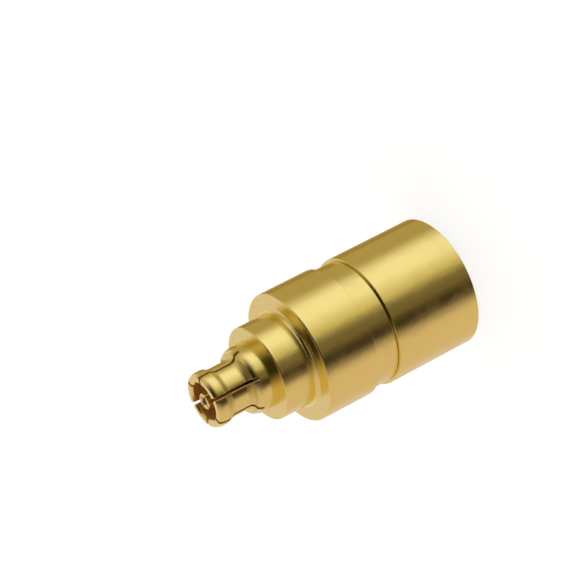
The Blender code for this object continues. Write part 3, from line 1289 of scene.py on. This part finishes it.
@dataclass
class SpringContact:
    """Outer contact: collar, neck and bulge, slotted into six fingers."""

    axis: Axis
    bore_r: float = 1.075
    neck_r: float = 1.435
    collar_r: float = 1.925
    collar_reach: float = 0.62
    collar_drop: float = 0.25
    collar_round: float = 0.58
    collar_rear_edge: float = 0.03
    neck_fillet: float = 0.3
    bulge_r: float = 1.585
    bulge_length: float = 1.02
    bulge_ramp: float = 0.39
    ramp_ease: float = 0.7
    tip_round: float = 0.42
    tip_drop: float = 0.165
    mouth: float = 0.1
    mouth_front_edge: float = 0.02
    mouth_rear_edge: float = 0.05
    fingers: int = 6
    slot_width: float = 0.17
    slot_stop: float = 0.85
    first_slot: float = 0.0

    def build(self) -> list[bpy.types.Object]:
        """Make the contact.

        Returns:
            The piece, in a list.
        """
        crest = self.axis.nose + self.collar_reach + self.collar_round
        fillet, ramp = self.neck_fillet / 2, self.bulge_ramp / 2
        ramp_middle = self.axis.tip - self.bulge_length + ramp
        bands = ((crest + fillet, fillet), (ramp_middle, ramp))
        plate = GoldPlate("finger_gold", roughness=0.17, bore_r=self.bore_r, rough_bands=bands)
        piece = SlottedPiece(
            name="outer_contact_plated",
            outline=self._outline(),
            material=plate.material(),
            count=self.fingers,
            slot_width=self.slot_width,
            slot_height=self.axis.nose + self.slot_stop,
            first_slot=self.first_slot,
        ).make()
        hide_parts("outer_contact")
        return [piece]

    def _outline(self) -> Outline:
        """Outline from the rear of the bore over the tips and down to the collar."""
        tip = self.axis.tip
        collar_front = self.axis.nose + self.collar_reach
        neck_rear = collar_front + self.collar_round + self.neck_fillet
        neck_front = tip - self.bulge_length
        crest_r = self.collar_r - self.collar_drop
        fillet = (crest_r - self.neck_r, self.neck_fillet)
        collar = (self.collar_drop, self.collar_round)
        outline = Outline(closed=True)
        outline.corner(self.bore_r, self.axis.collar_rear, self.collar_rear_edge)
        outline.corner(self.bore_r, tip - self.mouth, self.mouth_rear_edge)
        outline.corner(self.bore_r + self.mouth, tip, self.mouth_front_edge)
        lip = (self.bulge_r - self.tip_drop, tip - self.tip_round)
        outline.arc(lip, (self.tip_drop, self.tip_round), Facing.UP, Facing.OUTWARD)
        ramp_top = (self.bulge_r, neck_front + self.bulge_ramp)
        outline.ramp(ramp_top, (self.neck_r, neck_front), self.ramp_ease)
        outline.arc((crest_r, neck_rear), fillet, Facing.INWARD, Facing.DOWN)
        outline.arc((crest_r, collar_front), collar, Facing.UP, Facing.OUTWARD)
        outline.corner(self.collar_r, self.axis.collar_rear, self.collar_rear_edge)
        return outline


@dataclass
class CentreContact:
    """Socket contact with four tines, and the bead that holds it."""

    axis: Axis
    contact_r: float = 0.4675
    recess: float = 0.05
    edge: float = 0.05
    socket_r: float = 0.21
    socket_depth: float = 2.2
    lead: float = 0.06
    lead_edge: float = 0.02
    tines: int = 4
    slit: float = 0.06
    slit_length: float = 1.8
    first_slit: float = 60.0
    broken_edge: float = 0.01
    stem_r: float = 0.4025
    tail_r: float = 0.2
    tail_length: float = 0.6
    small_edge: float = 0.03
    bead_r: float = 1.45
    bead_hole_r: float = 0.4225
    bead_hub_r: float = 0.6225
    bead_relief_r: float = 1.0
    bead_relief: float = 0.25
    bead_edge: float = 0.02
    colour: Colour = (0.80, 0.66, 0.20)

    def build(self) -> list[bpy.types.Object]:
        """Make the contact and its bead.

        Returns:
            The pieces.
        """
        return [self._contact(), self._bead()]

    def _contact(self) -> bpy.types.Object:
        """Make the socket contact."""
        front = self.axis.tip - self.recess
        floor = front - self.socket_depth
        shoulder = self.axis.bead_front + self.axis.gap
        tail = self.axis.bead_rear - self.tail_length
        outline = Outline(closed=False)
        outline.corner(0.0, floor)
        outline.corner(self.socket_r, floor, self.small_edge)
        outline.corner(self.socket_r, front - self.lead, self.small_edge)
        outline.corner(self.socket_r + self.lead, front, self.lead_edge)
        outline.corner(self.contact_r, front, self.edge)
        outline.corner(self.contact_r, shoulder, self.small_edge)
        outline.corner(self.stem_r, shoulder)
        outline.corner(self.stem_r, self.axis.bead_rear, self.small_edge)
        outline.corner(self.tail_r, self.axis.bead_rear)
        outline.corner(self.tail_r, tail, self.small_edge)
        outline.corner(0.0, tail)
        piece = SlottedPiece(
            name="center_contact_plated",
            outline=outline,
            material=GoldPlate("contact_gold", self.colour, bore_r=self.socket_r).material(),
            count=self.tines,
            slot_width=self.slit,
            slot_height=front - self.slit_length,
            first_slot=self.first_slit,
            edge=self.broken_edge,
            columns=20,
        ).make()
        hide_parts("center_contact")
        return piece

    def _bead(self) -> bpy.types.Object:
        """Make the bead, which has the same ring-shaped relief in both ends."""
        front, rear = self.axis.bead_front, self.axis.bead_rear
        outline = Outline(closed=True)
        outline.corner(self.bead_hole_r, front)
        outline.corner(self.bead_hub_r, front, self.bead_edge)
        outline.corner(self.bead_hub_r, front - self.bead_relief, self.bead_edge)
        outline.corner(self.bead_relief_r, front - self.bead_relief, self.bead_edge)
        outline.corner(self.bead_relief_r, front, self.bead_edge)
        outline.corner(self.bead_r, front, self.bead_edge)
        outline.corner(self.bead_r, rear, self.bead_edge)
        outline.corner(self.bead_relief_r, rear, self.bead_edge)
        outline.corner(self.bead_relief_r, rear + self.bead_relief, self.bead_edge)
        outline.corner(self.bead_hub_r, rear + self.bead_relief, self.bead_edge)
        outline.corner(self.bead_hub_r, rear, self.bead_edge)
        outline.corner(self.bead_hole_r, rear)
        plastic = WaxyPlastic("bead_white").material()
        piece = TurnedPiece("contact_bead_turned", outline, plastic, segments=96).make()
        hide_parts("contact_bead")
        return piece


@dataclass
class Load:
    """Resistor rod, its caps, the tapered sleeve and the plug, inside the bodies."""

    nodes: Mapping[str, bpy.types.Object]

    def dress(self) -> list[bpy.types.Object]:
        """Give the inner pieces their finishes.

        Returns:
            The pieces, which keep their solids.
        """
        brass = TurnedMetal("turned_brass", (0.60, 0.43, 0.17), (0.50, 0.36, 0.15)).material()
        silver = TurnedMetal("silver_plate", (0.80, 0.79, 0.76), (0.70, 0.68, 0.63)).material()
        finishes = {
            "taper_sleeve": brass,
            "ground_plug": brass,
            "resistor_rod": ResistiveFilm("resistive_film").material(),
            "rod_front_cap": silver,
            "rod_rear_cap": silver,
        }
        for name, finish in finishes.items():
            self.nodes[name].data.materials.clear()
            self.nodes[name].data.materials.append(finish)
        return [self.nodes[name] for name in finishes]


@dataclass
class Viewpoint:
    """The camera, at the photograph's viewing angle."""

    bearing: float = 35.083
    elevation: float = 25.373
    roll: float = -116.737
    distance: float = 138.131
    aim: tuple[float, float, float] = (2.8833, 2.2966, 8.2660)
    lens: float = 162.553
    sensor: float = 36.0
    nearest: float = 5.0
    farthest: float = 10000.0

    def toward(self, bearing: float) -> Vector:
        """Level direction from the part.

        Args:
            bearing: Its angle from the camera's side, positive toward the window.

        Returns:
            The direction.
        """
        turn = math.radians(self.bearing + bearing)
        return Vector((math.sin(turn), -math.cos(turn), 0.0))

    def build(self) -> None:
        """Make the camera and make it the scene's."""
        rise = math.radians(self.elevation)
        back = self.toward(0.0) * math.cos(rise) + Vector((0.0, 0.0, math.sin(rise)))
        data = bpy.data.cameras.new("camera")
        data.sensor_width = self.sensor
        data.lens = self.lens
        data.clip_start, data.clip_end = self.nearest * MM, self.farthest * MM
        camera = bpy.data.objects.new("camera", data)
        bpy.context.scene.collection.objects.link(camera)
        upright = (-back).to_track_quat("-Z", "Y").to_matrix()
        rolled = upright @ Matrix.Rotation(math.radians(self.roll), 3, "Z")
        place = Matrix.Translation((Vector(self.aim) + back * self.distance) * MM)
        camera.matrix_world = place @ rolled.to_4x4()
        bpy.context.scene.camera = camera


@dataclass(frozen=True)
class Card:
    """One upright, soft-edged card of the light tent, as the part sees it.

    Its bearing runs from the camera's side, positive toward the window.
    """

    bearing: float
    half_width: float
    softness: float
    light: Colour


@dataclass
class LightTent:
    """Tent of pale and dark cards, which lights the part and shows in the gold.

    Low cards stand below the horizon and high ones above it, where they lean in
    over the part. The camera looks through the tent at the white world.
    """

    viewpoint: Viewpoint
    radius: float = 1000.0
    segments: int = 48
    room: Colour = (0.75, 0.575, 0.48)
    backdrop: Card = Card(180.0, 42.0, 20.0, (0.77, 0.66, 0.65))
    low_wall: Card = Card(100.0, 80.0, 10.0, (0.475, 0.37, 0.19))
    narrow_card: Card = Card(147.0, 8.0, 8.0, (0.36, 0.21, 0.02))
    low_dark_card: Card = Card(-10.3, 40.2, 15.0, (0.05, 0.034, 0.022))
    low_dim_card: Card = Card(-8.0, 13.0, 8.0, (0.19, 0.145, 0.085))
    window_wing: Card = Card(24.0, 16.3, 11.0, (0.73, 0.62, 0.37))
    low_window: Card = Card(56.0, 25.0, 16.0, (1.07, 1.00, 0.95))
    window_sill: float = -0.55
    window_foot: float = -0.95
    foot_share: float = 0.45
    high_wall: Card = Card(72.0, 54.0, 10.0, (0.46, 0.36, 0.205))
    high_glow: Card = Card(70.0, 22.0, 18.0, (0.70, 0.57, 0.43))
    high_dark_card: Card = Card(2.0, 49.0, 32.0, (0.025, 0.018, 0.02))
    horizon_glow: Card = Card(180.0, 50.0, 20.0, (0.93, 0.90, 0.88))
    horizon_height: float = 0.04
    horizon_width: float = 0.30
    low_top: float = -0.25
    high_bottom: float = 0.35
    lean: float = 5.0
    lean_start: float = 0.78
    lean_bearing: float = -15.0
    top_light: Colour = (0.38, 0.31, 0.19)
    top_start: float = 0.95
    top_full: float = 0.983
    bottom_light: Colour = (0.16, 0.115, 0.07)
    bottom_start: float = -0.93
    bottom_full: float = -0.985

    def build(self) -> None:
        """Make the tent as a backdrop that only the camera looks through."""
        form = bmesh.new()
        rings = self.segments // 2
        radius = self.radius * MM
        bmesh.ops.create_uvsphere(form, u_segments=self.segments, v_segments=rings, radius=radius)
        mesh = bpy.data.meshes.new("light_tent")
        form.to_mesh(mesh)
        form.free()
        mesh.materials.append(self._material())
        tent = bpy.data.objects.new("light_tent", mesh)
        bpy.context.scene.collection.objects.link(tent)
        tent.visible_camera = False

    def _material(self) -> bpy.types.Material:
        """Make the tent's glow."""
        material = bpy.data.materials.new("tent_cards")
        material.use_nodes = True
        material.node_tree.nodes.clear()
        graph = Graph(material.node_tree)
        values = {"Color": self._light(graph), "Strength": 1.0}
        glow = graph.add("ShaderNodeEmission", None, values)
        output = graph.node("ShaderNodeOutputMaterial")
        graph.tree.links.new(glow.socket, output.inputs["Surface"])
        return material

    def _light(self, graph: Graph) -> Wire:
        """Colour of the tent in each direction.

        Args:
            graph: The tent's tree.

        Returns:
            The colour.
        """
        direction = graph.vector("NORMALIZE", graph.place())
        height = graph.height_of(direction)
        level = graph.vector("MULTIPLY", direction, (1.0, 1.0, 0.0))
        overhead = (height - self.lean_start).larger(0.0) * self.lean
        lean_way = tuple(self.viewpoint.toward(self.lean_bearing))
        leaning = graph.vector("SCALE", lean_way, scale=overhead)
        facing = graph.vector("NORMALIZE", graph.vector("ADD", level, leaning))
        behind = self._hang(graph, facing, self.backdrop, self.room)
        low, high = behind, behind
        low_cards = (self.low_wall, self.narrow_card, self.low_dark_card, self.low_dim_card)
        for card in low_cards:
            low = self._hang(graph, facing, card, low)
        lit = height.smooth_step(self.window_foot, self.window_sill)
        lit = self.foot_share + lit * (1.0 - self.foot_share)
        for card in (self.window_wing, self.low_window):
            low = self._hang(graph, facing, card, low, lit)
        for card in (self.high_wall, self.high_glow, self.high_dark_card):
            high = self._hang(graph, facing, card, high)
        walls = graph.mix_colour(height.smooth_step(self.low_top, self.high_bottom), low, high)
        middle, width = self.horizon_height, self.horizon_width
        band = height.smooth_step(middle - width, middle) * height.smooth_step(middle + width, middle)
        walls = self._hang(graph, facing, self.horizon_glow, walls, band)
        above = height.smooth_step(self.top_start, self.top_full)
        below = height.smooth_step(self.bottom_start, self.bottom_full)
        walls = graph.mix_colour(above, walls, self.top_light)
        return graph.mix_colour(below, walls, self.bottom_light)

    def _hang(
        self,
        graph: Graph,
        facing: Wire,
        card: Card,
        behind: Wire | Colour,
        band: Wire | float = 1.0,
    ) -> Wire:
        """Hang one card in front of what is there.

        Args:
            graph: The tent's tree.
            facing: The level direction from the part.
            card: The card.
            behind: The colour behind it.
            band: How much of the card there is at this height.

        Returns:
            The colour with the card.
        """
        middle = tuple(self.viewpoint.toward(card.bearing))
        away = graph.vector("DOT_PRODUCT", facing, middle).angle()
        start, end = card.half_width + card.softness, card.half_width - card.softness
        return graph.mix_colour(away.smooth_step(start, end) * band, behind, card.light)


@dataclass
class Floor:
    """Pale floor that keeps the part's shadow."""

    size: float = 900.0
    level: float = -0.01
    colour: Colour = (0.86, 0.86, 0.86)
    lift: float = 0.8
    lift_colour: Colour = (0.87, 0.93, 0.97)

    def build(self) -> None:
        """Lay the floor, which the gold doesn't show."""
        half, level = self.size / 2 * MM, self.level * MM
        signs = ((-1, -1), (1, -1), (1, 1), (-1, 1))
        mesh = bpy.data.meshes.new("floor")
        mesh.from_pydata([(half * x, half * y, level) for x, y in signs], [], [(0, 1, 2, 3)])
        mesh.materials.append(self._material())
        floor = bpy.data.objects.new("floor", mesh)
        bpy.context.scene.collection.objects.link(floor)
        floor.visible_glossy = False

    def _material(self) -> bpy.types.Material:
        """Make the floor's paint, lifted to white where it is seen."""
        surface = Surface("pale_floor")
        surface.fix("Base Color", (*self.colour, 1.0))
        surface.fix("Roughness", 0.9)
        surface.fix("Specular IOR Level", 0.0)
        surface.fix("Emission Color", (*self.lift_colour, 1.0))
        graph = surface.graph
        path = graph.node("ShaderNodeLightPath")
        kinds = ("Camera", "Glossy", "Transmission")
        rays = [Wire(graph, path.outputs[f"Is {kind} Ray"]) for kind in kinds]
        seen = rays[0].larger(rays[1]).larger(rays[2])
        surface.vary("Emission Strength", seen * self.lift)
        return surface.material


@dataclass
class Studio:
    """Camera, light tent, floor and the white world behind them."""

    viewpoint: Viewpoint = field(default_factory=Viewpoint)
    floor: Floor = field(default_factory=Floor)
    white: Colour = (1.0, 1.0, 1.0)

    def build(self) -> None:
        """Set up the studio."""
        self.viewpoint.build()
        LightTent(self.viewpoint).build()
        self.floor.build()
        world = bpy.data.worlds.new("white_world")
        world.use_nodes = True
        world.node_tree.nodes["Background"].inputs["Color"].default_value = (*self.white, 1.0)
        bpy.context.scene.world = world
        bpy.context.scene.view_settings.view_transform = "Standard"


def main() -> None:
    """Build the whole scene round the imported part."""
    logging.basicConfig(level=logging.INFO, format="%(name)s: %(message)s")
    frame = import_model()
    axis = Axis()
    pieces: list[bpy.types.Object] = []
    for maker in (Housing(axis), SpringContact(axis), CentreContact(axis)):
        pieces += maker.build()
    for piece in pieces:
        report_piece(piece)
        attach(piece, BODY)
    for node in Load(frame["nodes"]).dress():
        LOG.info("%s keeps its solid, with the finish %s", node.name, node.data.materials[0].name)
    Studio().build()


if __name__ == "__main__":
    main()
